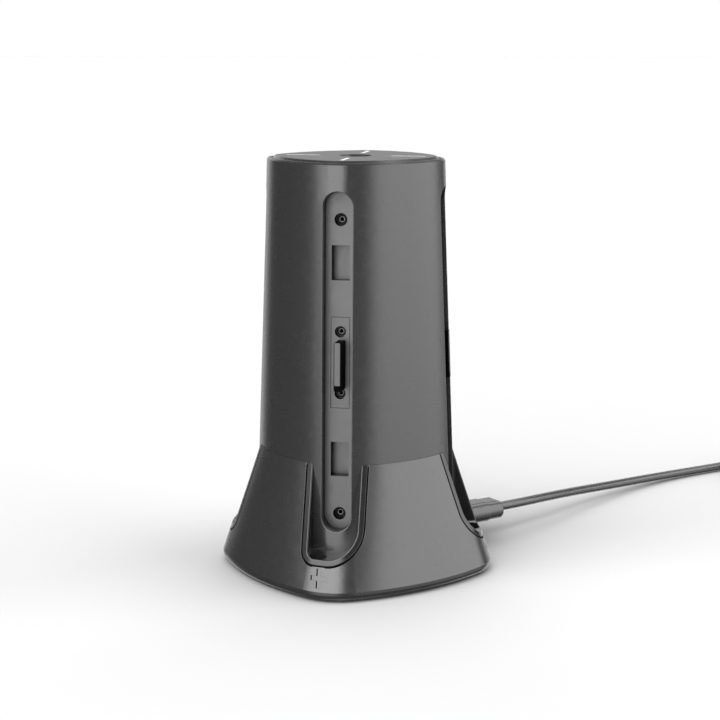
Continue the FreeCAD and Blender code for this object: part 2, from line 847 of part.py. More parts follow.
def charging_port():
    """Metal receptacle on the main board with its contact tongue."""
    body = oval_bar(port_width, port_height, port_start, port_mouth)
    inner_width = port_width - 2 * port_wall
    inner_height = port_height - 2 * port_wall
    body = body.cut(oval_bar(inner_width, inner_height, port_start + port_wall, port_mouth))
    tongue_corner = FreeCAD.Vector(port_start, -port_tongue_width / 2, port_level - port_tongue_height / 2)
    tongue = Part.makeBox(port_tongue_length, port_tongue_width, port_tongue_height, tongue_corner)
    return along_port(body.fuse(tongue).removeSplitter())


def main_board():
    """Charging board with a neck that carries the port, and its control chip."""
    low = board_top_level - board_thickness
    neck_end = port_mouth - board_neck_margin
    board = Part.makeBox(board_tail + board_neck_start, 2 * board_half_width, board_thickness,
                         FreeCAD.Vector(-board_tail, -board_half_width, low))
    neck = Part.makeBox(neck_end - board_neck_start, 2 * board_neck_half_width, board_thickness,
                        FreeCAD.Vector(board_neck_start, -board_neck_half_width, low))
    board = board.fuse(neck)
    board = board.fuse(block(chip_side, chip_side, board_top_level, board_top_level + chip_height))
    for x, y in board_screw_places():
        board = board.cut(rod(board_screw[2] + 2 * screw_fit, low, board_top_level, x, y))
    return along_port(board.removeSplitter())


def board_screws():
    """Screws of the main board and of the indicator board."""
    solids = [along_port(moved(screw(board_screw), x, y, board_top_level)) for x, y in board_screw_places()]
    level = frame_top_level + indicator_standoff + indicator_thickness
    return solids + [moved(screw(board_screw), x, y, level) for x, y in indicator_corners()]


# Plug, cord and far plug
cord_start = FreeCAD.Vector(*cord_points[0])
plug_rear = math.hypot(cord_start.x, cord_start.y)
plug_front = port_mouth + plug_gap


def plug_shell():
    """Metal sleeve of the plug, inside the port."""
    body = oval_bar(plug_shell_width, plug_shell_height, port_mouth - plug_shell_reach, plug_front)
    inner_width = plug_shell_width - 2 * plug_shell_wall
    inner_height = plug_shell_height - 2 * plug_shell_wall
    hollow = oval_bar(inner_width, inner_height, port_mouth - plug_shell_reach, port_mouth)
    return along_port(body.cut(hollow))


def plug_grip():
    """Moulded grip of the plug, thicker at its rounded rear."""
    step = plug_rear - plug_rear_length
    front = oval_bar(plug_front_width, plug_front_height, plug_front, step)
    rear = oval_bar(plug_rear_width, plug_rear_height, step, plug_rear)
    end_edges = [edge for edge in rear.Edges if edge.BoundBox.XMin > plug_rear - plug_rear_round]
    rear = rear.makeFillet(plug_rear_round, end_edges)
    return along_port(front.fuse(rear).removeSplitter())


def cord_path():
    """Straight runs joined by tangent arcs, each arc as large as its two runs allow."""
    points = [FreeCAD.Vector(*point) for point in cord_points]
    edges = []
    radii = []
    last = points[0]
    for before, corner, after in zip(points, points[1:], points[2:]):
        arrive = corner - before
        leave = after - corner
        turn = arrive.getAngle(leave)
        setback = cord_arc_share * min(arrive.Length, leave.Length)
        start = corner - FreeCAD.Vector(arrive).normalize() * setback
        end = corner + FreeCAD.Vector(leave).normalize() * setback
        radius = setback / math.tan(turn / 2)
        radii.append(radius)
        inward = (start + end) / 2 - corner
        bulge = corner + inward.normalize() * (math.hypot(radius, setback) - radius)
        edges.append(Part.LineSegment(last, start).toShape())
        edges.append(Part.Arc(start, bulge, end).toShape())
        last = end
    edges.append(Part.LineSegment(last, points[-1]).toShape())
    print("cord radii", [round(radius, 1) for radius in radii])
    return Part.Wire(edges)


def cord_tube():
    """Free stretch of the cord from the plug to its coil."""
    path = cord_path()
    heading = FreeCAD.Vector(*cord_points[1]) - cord_start
    ring = Part.Wire(Part.makeCircle(cord_diameter / 2, cord_start, heading))
    tube = path.makePipeShell([ring], True, False)
    section = math.pi * cord_diameter ** 2 / 4
    print("cord tube volume over section times length", round(tube.Volume / (section * path.Length), 4))
    return tube


coil_level = tie_thickness + tie_clearance
coil_middle = coil_middle_diameter / 2
coil_half_width = coil_turns_across * cord_diameter / 2 + coil_ease
coil_height = coil_layers * cord_diameter + 2 * coil_ease
coil_outer_turn = coil_middle + (coil_turns_across - 1) * cord_diameter / 2
coil_arrive = FreeCAD.Vector(*cord_points[-1]) - FreeCAD.Vector(*cord_points[-2])
coil_arrive.normalize()
coil_entry = FreeCAD.Vector(*cord_points[-1]) + coil_arrive * coil_lead
coil_right = FreeCAD.Vector(coil_arrive.y, -coil_arrive.x, 0).normalize()
coil_centre = FreeCAD.Vector(coil_entry.x, coil_entry.y, 0) + coil_right * coil_outer_turn
coil_exit_out = direction(coil_exit_angle)
coil_exit_heading = FreeCAD.Vector(coil_exit_out.y, -coil_exit_out.x, 0)
coil_exit_level = coil_level + coil_height - coil_ease - cord_diameter / 2
coil_exit = coil_centre + coil_exit_out * coil_outer_turn + up * coil_exit_level
far_rear = coil_centre + coil_exit_out * coil_outer_turn + coil_exit_heading * coil_tail
far_level = far_grip_height / 2


def cord_coil():
    """Outer shape of the wound length, with the ends that lead into it and out to the far plug."""
    section = Part.makePolygon([
        FreeCAD.Vector(coil_middle - coil_half_width, 0, coil_level),
        FreeCAD.Vector(coil_middle + coil_half_width, 0, coil_level),
        FreeCAD.Vector(coil_middle + coil_half_width, 0, coil_level + coil_height),
        FreeCAD.Vector(coil_middle - coil_half_width, 0, coil_level + coil_height),
        FreeCAD.Vector(coil_middle - coil_half_width, 0, coil_level)])
    ring = Part.Face(section).revolve(origin, up, 360)
    ring = ring.makeFillet(cord_diameter / 2, coil_rims(ring))
    ring = moved(ring, coil_centre.x, coil_centre.y, 0)
    lead = Part.makeCylinder(cord_diameter / 2, coil_lead, FreeCAD.Vector(*cord_points[-1]), coil_arrive)
    fall = far_rear + up * far_level - coil_exit
    tail = Part.makeCylinder(cord_diameter / 2, fall.Length + cord_diameter, coil_exit, fall)
    tail = tail.cut(far_grip_space())
    return ring.fuse(lead).fuse(tail).removeSplitter()


def coil_rims(ring):
    """Round edges of the coil's outer shape."""
    return [edge for edge in ring.Edges if edge.Curve.TypeId == "Part::GeomCircle" and edge.Closed]


def at_far_plug(shape):
    """Move a shape drawn along +X from the plug's rear to where the far plug lies."""
    angle = math.degrees(math.atan2(coil_exit_heading.y, coil_exit_heading.x))
    return moved(turned(shape, angle), far_rear.x, far_rear.y, 0)


def far_grip_space():
    """Half space from the far plug's rear onward, large enough to trim the cord's end."""
    reach = far_grip_length
    return at_far_plug(Part.makeBox(reach, 2 * reach, 2 * reach, FreeCAD.Vector(0, -reach, -reach)))


def far_plug_grip():
    """Moulded grip of the far plug, lying beside the coil."""
    body = block(far_grip_length, far_grip_width, 0, far_grip_height, far_grip_length / 2)
    long_edges = [edge for edge in body.Edges if edge.BoundBox.XLength > far_grip_length / 2]
    return at_far_plug(body.makeFillet(far_grip_round, long_edges))


def far_plug_shell():
    """Open metal sleeve of the far plug."""
    def sleeve(width, height, start):
        corner = FreeCAD.Vector(start, -width / 2, far_level - height / 2)
        return Part.makeBox(far_grip_length + far_shell_length - start, width, height, corner)

    outer = sleeve(far_shell_width, far_shell_height, far_grip_length)
    hollow = sleeve(far_shell_width - 2 * far_shell_wall, far_shell_height - 2 * far_shell_wall,
                    far_grip_length + far_shell_wall)
    return at_far_plug(outer.cut(hollow))


def cord_tie():
    """Strap round the coil's section, clear of the coil's curve at both of its edges."""
    inner = coil_middle - coil_half_width
    inner_reach = math.sqrt(inner ** 2 - (tie_width / 2) ** 2)
    outer_reach = coil_middle + coil_half_width

    def loop(grow, width):
        span = outer_reach - inner_reach + 2 * grow
        middle = (outer_reach + inner_reach) / 2
        return block(span, width, coil_level - grow, coil_level + coil_height + grow, middle)

    strap = loop(tie_clearance + tie_thickness, tie_width).cut(loop(tie_clearance, 2 * tie_width))
    return moved(turned(strap, tie_angle), coil_centre.x, coil_centre.y, 0)


def per_slot(solids):
    """The solids of one slot, repeated on all four."""
    return [turned(solid, angle) for angle in slot_angles for solid in solids]


def export(name, shape):
    """Write one piece, or one group of like pieces, to its own file."""
    solids = shape if isinstance(shape, list) else shape.Solids
    for solid in solids:
        if not solid.isValid():
            print("not valid", name)
    result = solids[0] if len(solids) == 1 else Part.makeCompound(solids)
    result.exportStep(os.path.join("parts", name + ".step"))
    print(name, len(solids), round(sum(solid.Volume for solid in solids), 1))


os.makedirs("parts", exist_ok=True)
export("tower_shell", tower_shell())
export("top_cap", top_cap())
export("inner_frame", inner_frame())
export("indicator_board", indicator_board())
export("indicator_leds", per_slot([indicator_led()]))
tray = dock_tray()
for number, slot in enumerate(slot_names):
    angle = slot_angles[number]
    hand = slot_hand(number)
    export("dock_tray_" + slot, turned(tray, angle))
    export("connector_insert_" + slot, turned(connector_insert(hand), angle))
    export("connector_housing_" + slot, turned(connector_housing(hand), angle))
    export("connector_blade_" + slot, turned(connector_blade(hand), angle))
    export("connector_board_" + slot, turned(connector_board(), angle))
    export("light_bar_" + slot, turned(light_bar(), angle - 90))
    export("pocket_liner_" + slot, turned(pocket_liner(hand), angle))
export("holding_magnets", per_slot(magnet_pair()))
export("tray_screws", per_slot(tray_screw_pair()))
export("connector_screws", per_slot(connector_screw_pair()))
export("base_skirt", base_skirt())
export("bottom_plate", bottom_plate())
export("rubber_feet", [rod(foot_diameter, 0, foot_height, place.x, place.y) for place in foot_places()])
export("base_screws", [upward_screw(base_screw, place) for place in base_boss_places()])
export("frame_screws", [upward_screw(frame_screw, place) for place in frame_post_places()])
export("main_board", main_board())
export("charging_port", charging_port())
export("board_screws", board_screws())
export("plug_shell", plug_shell())
export("plug_grip", plug_grip())
export("cord_tube", cord_tube())
export("cord_coil", cord_coil())
export("cord_tie", cord_tie())
export("far_plug_grip", far_plug_grip())
export("far_plug_shell", far_plug_shell())
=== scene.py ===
"""Looks of the controller charging stand: camera, studio, cord, finishes and small surface detail."""
import bmesh
import bpy
import json
import math
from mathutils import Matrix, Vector
from mathutils.bvhtree import BVHTree


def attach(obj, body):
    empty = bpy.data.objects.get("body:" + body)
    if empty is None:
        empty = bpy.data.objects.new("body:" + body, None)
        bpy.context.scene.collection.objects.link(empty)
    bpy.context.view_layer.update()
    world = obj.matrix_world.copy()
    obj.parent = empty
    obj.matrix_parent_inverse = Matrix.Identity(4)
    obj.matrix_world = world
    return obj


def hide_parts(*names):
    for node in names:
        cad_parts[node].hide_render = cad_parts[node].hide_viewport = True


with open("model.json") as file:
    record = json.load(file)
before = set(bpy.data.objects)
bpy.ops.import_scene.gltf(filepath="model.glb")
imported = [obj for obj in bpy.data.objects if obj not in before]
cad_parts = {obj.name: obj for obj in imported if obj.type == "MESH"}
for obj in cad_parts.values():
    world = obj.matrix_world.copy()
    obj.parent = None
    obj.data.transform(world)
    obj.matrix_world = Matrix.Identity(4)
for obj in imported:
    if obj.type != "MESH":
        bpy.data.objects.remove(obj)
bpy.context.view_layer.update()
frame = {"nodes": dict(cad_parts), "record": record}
nodes = frame["nodes"]
scene = bpy.context.scene
scene.view_settings.view_transform = "Standard"

MM = 0.001


# Camera, at the photograph's angle
CAMERA_AZIMUTH = math.radians(11.053)
CAMERA_DISTANCE = 0.535927
CAMERA_HEIGHT = 0.16498
CAMERA_PITCH = math.radians(10.543)
CAMERA_YAW = math.radians(-0.144)
CAMERA_LENS = 87.636
CAMERA_NEAR = 0.01
SENSOR = 36.0


def make_camera():
    """Camera that sees the stand as the photograph does."""
    data = bpy.data.cameras.new("camera")
    data.sensor_width = SENSOR
    data.lens = CAMERA_LENS
    data.clip_start = CAMERA_NEAR
    camera = bpy.data.objects.new("camera", data)
    camera.location = (CAMERA_DISTANCE * math.sin(CAMERA_AZIMUTH),
                       -CAMERA_DISTANCE * math.cos(CAMERA_AZIMUTH), CAMERA_HEIGHT)
    camera.rotation_euler = (math.pi / 2 - CAMERA_PITCH, 0, CAMERA_AZIMUTH + CAMERA_YAW)
    scene.collection.objects.link(camera)
    scene.camera = camera


make_camera()


# Shader building
class Tree:
    """Short way to add nodes to a material or a world and to link them."""

    def __init__(self, owner):
        owner.use_nodes = True
        self.tree = owner.node_tree
        self.tree.nodes.clear()

    def add(self, kind, **values):
        """Node of a kind, with values for its settings or its inputs."""
        node = self.tree.nodes.new(kind)
        for key, value in values.items():
            if hasattr(node, key):
                setattr(node, key, value)
            else:
                node.inputs[key.replace("_", " ")].default_value = value
        return node

    def link(self, source, target):
        self.tree.links.new(source, target)

    def math(self, operation, *values):
        """Math node whose inputs are numbers or sockets."""
        node = self.tree.nodes.new("ShaderNodeMath")
        node.operation = operation
        for socket, value in zip(node.inputs, values):
            if isinstance(value, (int, float)):
                socket.default_value = value
            else:
                self.link(value, socket)
        return node.outputs[0]

    def ramp(self, value, low, high, start, end, smooth=True):
        """Value mapped from one range to another, with soft ends unless smooth is off."""
        node = self.tree.nodes.new("ShaderNodeMapRange")
        node.interpolation_type = "SMOOTHSTEP" if smooth else "LINEAR"
        self.link(value, node.inputs["Value"])
        for name, number in (("From Min", low), ("From Max", high), ("To Min", start), ("To Max", end)):
            node.inputs[name].default_value = number
        return node.outputs[0]


def noise(tree, scale, detail=2.0):
    """Noise over the object's own coordinates; scale counts features per metre."""
    place = tree.add("ShaderNodeTexCoord")
    node = tree.add("ShaderNodeTexNoise", Scale=scale, Detail=detail)
    tree.link(place.outputs["Object"], node.inputs["Vector"])
    return node.outputs["Fac"]


def slot_facing(tree):
    """How far a face looks out of its docking slot: 1 on the slot's floor, 0 on its side walls."""
    coordinates = tree.add("ShaderNodeTexCoord")
    place = tree.add("ShaderNodeSeparateXYZ")
    tree.link(coordinates.outputs["Object"], place.inputs[0])
    way = tree.add("ShaderNodeSeparateXYZ")
    tree.link(coordinates.outputs["Normal"], way.inputs[0])
    sideways = tree.math("GREATER_THAN", tree.math("ABSOLUTE", place.outputs[0]),
                         tree.math("ABSOLUTE", place.outputs[1]))
    along_x = tree.math("MULTIPLY", sideways, tree.math("ABSOLUTE", way.outputs[0]))
    frontways = tree.math("SUBTRACT", 1.0, sideways)
    return tree.math("MULTIPLY_ADD", frontways, tree.math("ABSOLUTE", way.outputs[1]), along_x)


# Finishes
MOTTLE_SCALE = 180.0
MOTTLE_DETAIL = 4.0
GLOSS_SCALE = 420.0
GLOSS_DETAIL = 3.0
NOISE_RANGE = (0.3, 0.7)
# Painted shade on the slot side walls: the facing range treated as side walls, and the shine left on them
SHADED_WALL_FACING = (0.3, 0.6)
SHADED_WALL_SPECULAR = 0.1
TOP_FACING = (0.96, 0.99)
GRAIN_STRENGTH = 0.5
FINE_GRAIN = 0.0000001
PLASTIC_IOR = 1.6
GREY = (0.025, 0.025, 0.0255)


def moulded(name, colour, rough, rough_spread=0.04, grain=6000.0, grain_height=0.0000005, mottle=0.03,
            wall_shade=None, top=None, **shine):
    """Material with a fine grain, uneven gloss and a faint mottle in its colour.

    The value for the side walls of the docking slots paints shade on them: their colour drops to that share
    of the colour and their shine drops too.
    A top value is added to the roughness of faces that look straight up.
    """
    material = bpy.data.materials.new(name)
    tree = Tree(material)
    shader = tree.add("ShaderNodeBsdfPrincipled")
    out = tree.add("ShaderNodeOutputMaterial")
    tree.link(shader.outputs[0], out.inputs["Surface"])
    for key, value in shine.items():
        shader.inputs[key.replace("_", " ")].default_value = value
    shade = tree.add("ShaderNodeMix", data_type="RGBA")
    shade.inputs[6].default_value = (*[c * (1 - mottle) for c in colour], 1)
    shade.inputs[7].default_value = (*[c * (1 + mottle) for c in colour], 1)
    tree.link(noise(tree, MOTTLE_SCALE, MOTTLE_DETAIL), shade.inputs[0])
    tone = shade.outputs[2]
    # Painted shade: the side walls of the docking slots get a darker colour and less shine
    if wall_shade:
        wall_shade_mask = tree.ramp(slot_facing(tree), *SHADED_WALL_FACING, 0, 1)
        sides = tree.add("ShaderNodeMix", data_type="RGBA")
        sides.inputs[6].default_value = (*[c * wall_shade for c in colour], 1)
        tree.link(wall_shade_mask, sides.inputs[0])
        tree.link(tone, sides.inputs[7])
        tone = sides.outputs[2]
        specular = tree.ramp(wall_shade_mask, 0, 1, SHADED_WALL_SPECULAR, shine["Specular_IOR_Level"])
        tree.link(specular, shader.inputs["Specular IOR Level"])
    tree.link(tone, shader.inputs["Base Color"])
    gloss = tree.ramp(noise(tree, GLOSS_SCALE, GLOSS_DETAIL), *NOISE_RANGE, rough - rough_spread,
                      rough + rough_spread)
    if top:
        way = tree.add("ShaderNodeSeparateXYZ")
        tree.link(tree.add("ShaderNodeTexCoord").outputs["Normal"], way.inputs[0])
        gloss = tree.math("ADD", gloss, tree.ramp(way.outputs[2], *TOP_FACING, 0, top))
    tree.link(gloss, shader.inputs["Roughness"])
    bump = tree.add("ShaderNodeBump", Strength=GRAIN_STRENGTH, Distance=grain_height)
    tree.link(noise(tree, grain), bump.inputs["Height"])
    tree.link(bump.outputs[0], shader.inputs["Normal"])
    return material


materials = {
    "grey_plastic": moulded("grey_plastic", GREY, 0.26, 0.015, grain_height=FINE_GRAIN, mottle=0.015,
                            top=0.2, Specular_IOR_Level=1.0, IOR=PLASTIC_IOR),
    # The tray's slot side walls get painted shade at 0.3 of the colour
    "tray_plastic": moulded("tray_plastic", (0.034, 0.034, 0.035), 0.36, wall_shade=0.3,
                            Specular_IOR_Level=1.0, IOR=PLASTIC_IOR),
    "inner_plastic": moulded("inner_plastic", (0.014, 0.014, 0.015), 0.45),
    "smoke_plastic": moulded("smoke_plastic", (0.018, 0.018, 0.0185), 0.16, 0.02, grain=900.0,
                             Specular_IOR_Level=0.55, IOR=PLASTIC_IOR),
    "black_plastic": moulded("black_plastic", (0.0015, 0.0015, 0.0015), 0.55, Specular_IOR_Level=0.02),
    "contact_metal": moulded("contact_metal", (0.08, 0.08, 0.0825), 0.38, Specular_IOR_Level=0.7),
    "clear_bar": moulded("clear_bar", (0.8, 0.81, 0.83), 0.3, 0.05),
    "circuit_board": moulded("circuit_board", (0.01, 0.06, 0.03), 0.3),
    "bright_metal": moulded("bright_metal", (0.62, 0.62, 0.63), 0.22, Metallic=1.0),
    "screw_steel": moulded("screw_steel", (0.014, 0.014, 0.0145), 0.45, Metallic=1.0),
    "foot_rubber": moulded("foot_rubber", (0.012, 0.012, 0.012), 0.7),
    # Light grey for the screw rings: painted highlight on the socket rims
    "painted_ring_highlight": moulded("painted_ring_highlight", (0.22, 0.22, 0.225), 0.38),
    "cord_rubber": moulded("cord_rubber", (0.03, 0.03, 0.0305), 0.26, grain_height=FINE_GRAIN,
                           Specular_IOR_Level=1.0, IOR=PLASTIC_IOR),
}


def finish_with(obj, slot, look=None):
    """Give an object the material of a record slot, or a look of its own."""
    obj.data.materials.clear()
    obj.data.materials.append(materials[look or slot])


for sub in frame["record"]["subparts"]:
    finish_with(nodes[sub["node"]], sub["material_slot"])


# Cord: the free stretch, the tied coil and the last stretch to the far plug; places in millimetres
CORD_DIAMETER = 3.0 * MM
CORD_ROUNDNESS = 6
CORD_SMOOTHNESS = 8
CORD_ORDER = 3
CORD_ROUTE = [
    (39.7, 39.7, 9.3),
    (46.5, 46.5, 9.3),
    (55.5, 61.5, 8.1),
    (64.0, 77.6, 6.3),
    (73.6, 94.0, 4.4),
    (84.6, 110.6, 2.9),
    (97.5, 126.6, 1.9),
    (111.8, 140.4, 1.6),
    (122.0, 149.2, 1.9),
]
COIL_MIDDLE = 18.0
COIL_TURNS_ACROSS = 4
COIL_LEAD = 14.0
COIL_TAIL = 22.0
COIL_LOW = 2.4
COIL_HIGH = 5.5
COIL_POINTS = 16
COIL_RISE_TURNS = 1
FAR_PLUG_LEVEL = 4.5


def coil_points():
    """Control points of the coil: inward on the floor, up, outward on top, then to the far plug."""
    last = Vector(CORD_ROUTE[-1])
    heading = (last - Vector(CORD_ROUTE[-2])).normalized()
    right = Vector((heading.y, -heading.x, 0)).normalized()
    pitch = CORD_DIAMETER / MM
    outer = COIL_MIDDLE + (COIL_TURNS_ACROSS - 1) * pitch / 2
    inner = COIL_MIDDLE - (COIL_TURNS_ACROSS - 1) * pitch / 2
    entry = last + heading * COIL_LEAD
    centre = Vector((entry.x, entry.y, 0)) + right * outer
    start = math.atan2(-right.y, -right.x)
    spiral = COIL_TURNS_ACROSS - 1
    turns = 2 * spiral + COIL_RISE_TURNS + start / (2 * math.pi)
    steps = round(turns * COIL_POINTS)
    reach = 1 / math.cos(math.pi / COIL_POINTS)
    points = []
    for step in range(steps + 1):
        turn = turns * step / steps
        inward = min(turn / spiral, 1)
        outward = min((turns - turn) / spiral, 1)
        radius = outer - (outer - inner) * min(inward, outward)
        rise = min(max((turn - spiral) / (turns - 2 * spiral), 0), 1)
        level = COIL_LOW + (COIL_HIGH - COIL_LOW) * rise
        angle = start - 2 * math.pi * turn
        points.append(centre + Vector((math.cos(angle), math.sin(angle), 0)) * radius * reach
                      + Vector((0, 0, level)))
    leave = centre + Vector((outer, 0, COIL_HIGH))
    points.append(leave + Vector((0, -COIL_TAIL / 2, (FAR_PLUG_LEVEL - COIL_HIGH) / 2)))
    points.append(Vector((leave.x, leave.y - COIL_TAIL, FAR_PLUG_LEVEL)))
    return points


def make_cord():
    """One smooth spline for the whole cord."""
    route = [Vector(point) for point in CORD_ROUTE] + coil_points()
    data = bpy.data.curves.new("cord", "CURVE")
    data.dimensions = "3D"
    data.bevel_depth = CORD_DIAMETER / 2
    data.bevel_resolution = CORD_ROUNDNESS
    data.resolution_u = CORD_SMOOTHNESS
    data.use_fill_caps = True
    spline = data.splines.new("NURBS")
    spline.points.add(len(route) - 1)
    for point, place in zip(spline.points, route):
        point.co = (*(place * MM), 1)
    spline.order_u = CORD_ORDER
    spline.use_endpoint_u = True
    cord = bpy.data.objects.new("cord", data)
    scene.collection.objects.link(cord)
    finish_with(cord, "cord_rubber")
    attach(cord, "root")
    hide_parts("cord_tube", "cord_coil")


make_cord()


# Small pieces: flush blades, a raised ring in painted-highlight grey and a painted-shade disc in each screw
# head, a sign of painted-shade lines under each pocket and a black strip of painted shade round each liner
SLOTS = ("front", "right", "back", "left")
RIM_LEVEL = 128.0
RIM_APEX = 27.5
FOOT_LEVEL = 10.2
FOOT_APEX = 31.9
SLOT_TILT = math.atan2(FOOT_APEX - RIM_APEX, RIM_LEVEL - FOOT_LEVEL)
JOIN_DISTANCE = 0.0001 * MM
MARK_LIFT = 0.015 * MM
BLADE_TRIM = 0.7 * MM
BLADE_SHARP = math.radians(30)
HEAD_DEPTH = 0.001 * MM
RING_DIAMETER = 1.5 * MM
RING_THICKNESS = 0.3 * MM
RING_STEPS = 32
RING_SIDES = 10
SIGN_ASIDE = 3.2 * MM
SIGN_LEVEL = 7.1 * MM
SIGN_WIDTH = 5.0 * MM
SIGN_HEIGHT = 5.5 * MM
SIGN_STROKE = 1.4 * MM
# Sign lines: painted shade for the walls of an engraving that is not cut
SIGN_SHADED_WALL_LINE = 0.4 * MM
SIGN_FINE_LINE = 0.03 * MM
SIGN_STEPS = 6
NOTCH_HALF = 9.2 * MM
NOTCH_FLOOR = 10.4 * MM
NOTCH_WIDE = 10.3 * MM
NOTCH_TIGHT = 3.8 * MM
NOTCH_TOP = 38.3 * MM
SEAM_REACH = 0.45 * MM
SEAM_INNER = -0.05 * MM
SEAM_OUTER = 0.36 * MM
SEAM_STEPS = 12


def new_piece(name, points, faces, slot, look=None):
    """Object made of points and faces that belongs to the stand."""
    mesh = bpy.data.meshes.new(name)
    mesh.from_pydata(points, [], faces)
    mesh.shade_smooth()
    piece = bpy.data.objects.new(name, mesh)
    scene.collection.objects.link(piece)
    finish_with(piece, slot, look)
    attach(piece, "root")
    return piece


def solid_shape(node):
    """Mesh of a node in the scene's frame, with split corners joined."""
    shape = bmesh.new()
    shape.from_mesh(nodes[node].data)
    shape.transform(nodes[node].matrix_world)
    bmesh.ops.remove_doubles(shape, verts=shape.verts, dist=JOIN_DISTANCE)
    return shape


def surface(node):
    """Surface of a node that rays can be cast at."""
    shape = solid_shape(node)
    tree = BVHTree.FromBMesh(shape)
    shape.free()
    return tree


def on_surface(tree, origin, way):
    """Place just over the surface that a ray meets."""
    hit, normal = tree.ray_cast(origin, way)[:2]
    return hit + normal * MARK_LIFT


def slot_ways(number):
    """Way across a docking slot and way into the stand, both level, by the slot's number."""
    turn = number * math.pi / 2
    across = Vector((math.cos(turn), math.sin(turn), 0))
    inward = Vector((-math.sin(turn), math.cos(turn), 0))
    return across, inward


def out_of_slot(number):
    """Way square out of a docking slot's sloping floor."""
    inward = slot_ways(number)[1]
    return Vector((0, 0, math.sin(SLOT_TILT))) - inward * math.cos(SLOT_TILT)


def make_blades():
    """Connector blades that end flush with their housings."""
    for number, slot in enumerate(SLOTS):
        node = "connector_blade_" + slot
        out = out_of_slot(number)
        shape = solid_shape(node)
        shape.verts.index_update()
        reach = max(corner.co.dot(out) for corner in shape.verts)
        points = []
        for corner in shape.verts:
            outer = corner.co.dot(out) > reach - BLADE_TRIM
            points.append(corner.co - out * BLADE_TRIM if outer else corner.co.copy())
        faces = [[corner.index for corner in face.verts] for face in shape.faces]
        shape.free()
        blade = new_piece("blade_" + slot, points, faces, "contact_metal")
        blade.data.set_sharp_from_angle(angle=BLADE_SHARP)
        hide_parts(node)


def screw_tops(node):
    """Centre of each screw head's outer face, and the way it faces."""
    shape = solid_shape(node)
    left = set(shape.verts)
    tops = []
    while left:
        waiting = [left.pop()]
        island = []
        while waiting:
            corner = waiting.pop()
            island.append(corner.co.copy())
            for edge in corner.link_edges:
                other = edge.other_vert(corner)
                if other in left:
                    left.remove(other)
                    waiting.append(other)
        middle = sum(island, Vector()) / len(island)
        out = out_of_slot(round(math.atan2(middle.x, -middle.y) / (math.pi / 2)))
        reach = max(point.dot(out) for point in island)
        head = [point for point in island if point.dot(out) > reach - HEAD_DEPTH]
        tops.append((sum(head, Vector()) / len(head), out))
    shape.free()
    return tops


def make_screw_marks():
    """Raised ring in the middle of each visible screw head, in a light grey that is painted highlight, and a
    black disc inside it that is painted shade for the socket's hollow.
    """
    ring_points = []
    ring_faces = []
    socket_shade_points = []
    socket_shade_faces = []
    for centre, out in screw_tops("tray_screws") + screw_tops("connector_screws"):
        across = out.cross(Vector((0, 0, 1))).normalized()
        upward = across.cross(out)
        first = len(ring_points)
        socket_shade_faces.append(list(range(len(socket_shade_points), len(socket_shade_points) + RING_STEPS)))
        for step in range(RING_STEPS):
            turn = 2 * math.pi * step / RING_STEPS
            away = across * math.cos(turn) + upward * math.sin(turn)
            socket_shade_points.append(centre + away * RING_DIAMETER / 2 + out * MARK_LIFT)
            here = first + step * RING_SIDES
            following = first + (step + 1) % RING_STEPS * RING_SIDES
            for side in range(RING_SIDES):
                lean = 2 * math.pi * side / RING_SIDES
                reach = RING_DIAMETER / 2 + RING_THICKNESS / 2 * math.cos(lean)
                ring_points.append(centre + away * reach + out * RING_THICKNESS / 2 * math.sin(lean))
                beside = (side + 1) % RING_SIDES
                ring_faces.append([here + side, following + side, following + beside, here + beside])
    # The ring's shape is real; its light colour is painted highlight
    new_piece("screw_rings", ring_points, ring_faces, "contact_metal", "painted_ring_highlight")
    # Black disc: painted shade for the socket's hollow
    new_piece("screw_socket_shade", socket_shade_points, socket_shade_faces, "black_plastic")


def sign_outline(plus):
    """Corners of a plus or a minus, clockwise as seen from outside."""
    wide = SIGN_WIDTH / 2
    tall = SIGN_HEIGHT / 2
    half = SIGN_STROKE / 2
    if not plus:
        return [(-wide, half), (wide, half), (wide, -half), (-wide, -half)]
    return [(-half, tall), (half, tall), (half, half), (wide, half), (wide, -half), (half, -half),
            (half, -tall), (-half, -tall), (-half, -half), (-wide, -half), (-wide, half), (-half, half)]


def make_signs():
    """Signs on the skirt, drawn as black lines just over it: plus under the front and back pockets, minus
    under the other two.

    The engraving itself is not cut; the lines are painted shade for its walls. Lines that run up stand for
    the shaded deep side of the engraving and are wider than the rest.
    """
    skirt = surface("base_skirt")
    points = []
    faces = []
    for number in range(len(SLOTS)):
        plus = number % 2 == 0
        across, inward = slot_ways(number)
        aside = -SIGN_ASIDE if plus else SIGN_ASIDE
        middle = across * aside - inward + Vector((0, 0, SIGN_LEVEL))
        corners = sign_outline(plus)
        for start, end in zip(corners, corners[1:] + corners[:1]):
            run = Vector((end[0] - start[0], end[1] - start[1]))
            width = SIGN_SHADED_WALL_LINE if run.y > 0 else SIGN_FINE_LINE
            within = Vector((run.y, -run.x)).normalized() * width
            first = len(points)
            for step in range(SIGN_STEPS + 1):
                place = Vector(start) + run * step / SIGN_STEPS
                for spot in (place, place + within):
                    origin = middle + across * spot.x + Vector((0, 0, spot.y))
                    points.append(on_surface(skirt, origin, inward))
            for step in range(SIGN_STEPS):
                low = first + 2 * step
                faces.append([low, low + 1, low + 3, low + 2])
    # Painted shade: black lines where the engraving's walls would be in shade
    new_piece("sign_painted_shade", points, faces, "black_plastic")


